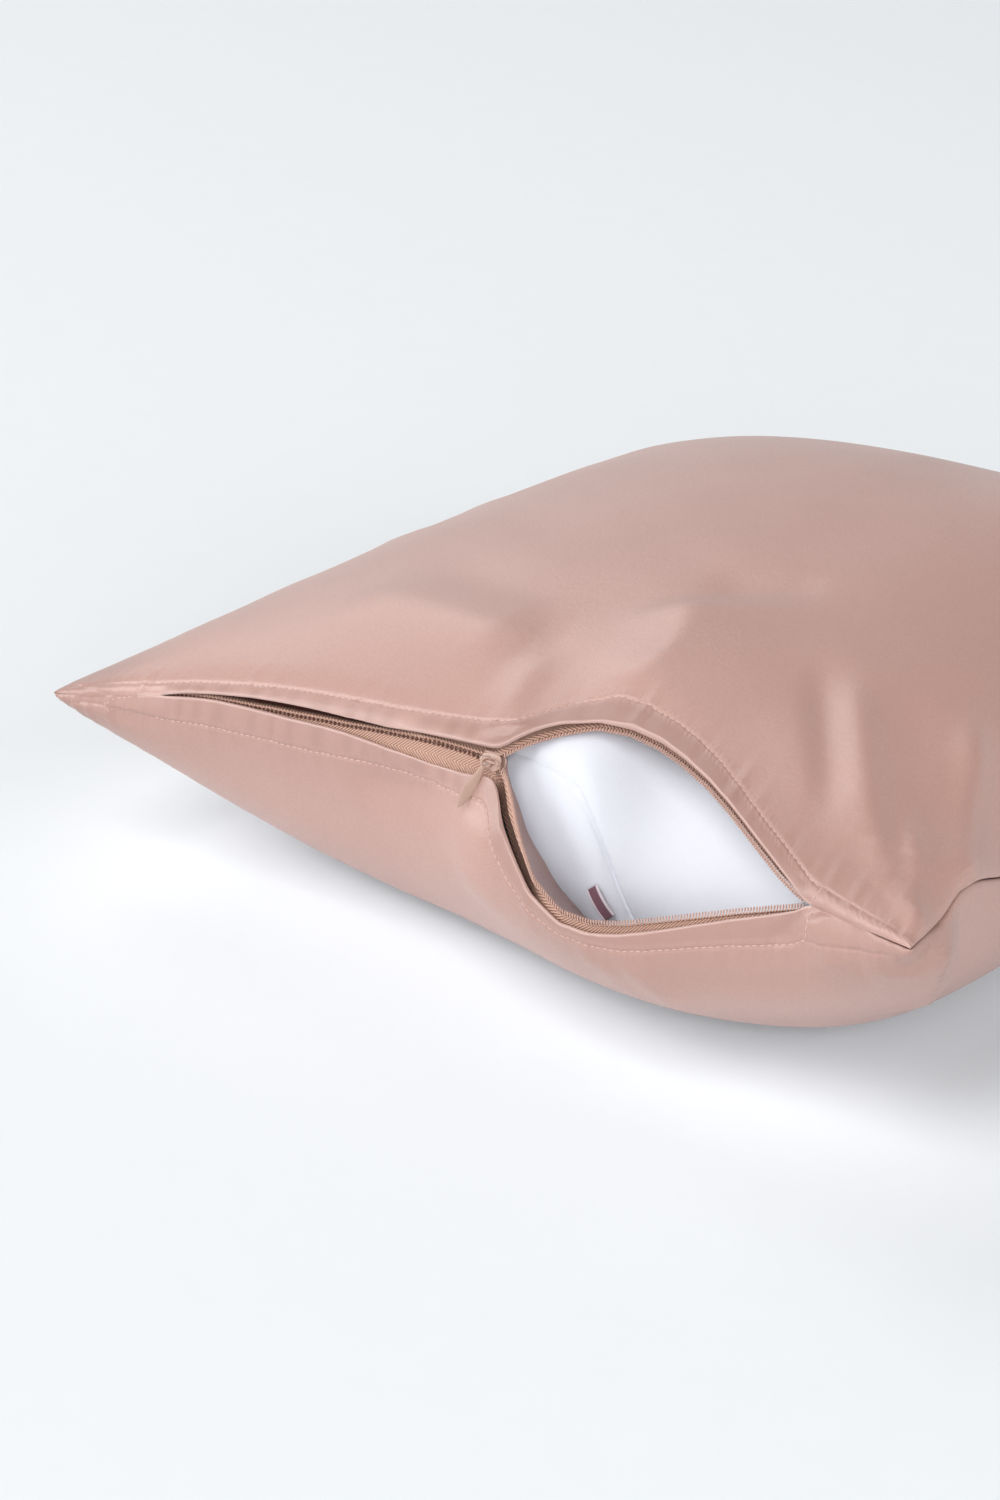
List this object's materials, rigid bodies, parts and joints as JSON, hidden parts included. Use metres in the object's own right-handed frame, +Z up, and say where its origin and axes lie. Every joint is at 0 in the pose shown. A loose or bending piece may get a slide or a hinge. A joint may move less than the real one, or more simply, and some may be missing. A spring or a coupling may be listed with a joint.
{
  "type": "zipped pillowcase",
  "caption": "Square satin pillowcase on a plump white pillow, lying flat, its hidden zip half open in a lens-shaped mouth.",
  "frame": {"origin": "middle of the footprint, on the surface that the pillowcase lies on", "axes": "+Z up; X runs along the zip, from its closed left end to its open right end; the zip end faces -Y"},
  "size_m": [0.4305, 0.4401, 0.1492],
  "materials": {
    "sateen": "smooth satin weave, soft sheen, dusty rose",
    "zip_tape": "herringbone tape, matt, tan rose",
    "zip_coil": "dyed nylon coil",
    "painted_metal": "cloth-coloured paint, satin",
    "white_cotton": "fine plain weave, matt white",
    "loop_tape": "plain woven tape, dark mauve, blank"
  },
  "bodies": {
    "root": {"case_top_panel": "sateen", "case_bottom_panel": "sateen", "zip_tape_upper": "zip_tape", "zip_tape_lower": "zip_tape", "zip_coil_upper": "zip_coil", "zip_coil_lower": "zip_coil", "zip_chain_closed": "zip_coil", "zip_slider": "painted_metal", "zip_puller": "painted_metal", "inner_pillow": "white_cotton", "pillow_seam_loop": "loop_tape"}
  },
  "joints": []
}
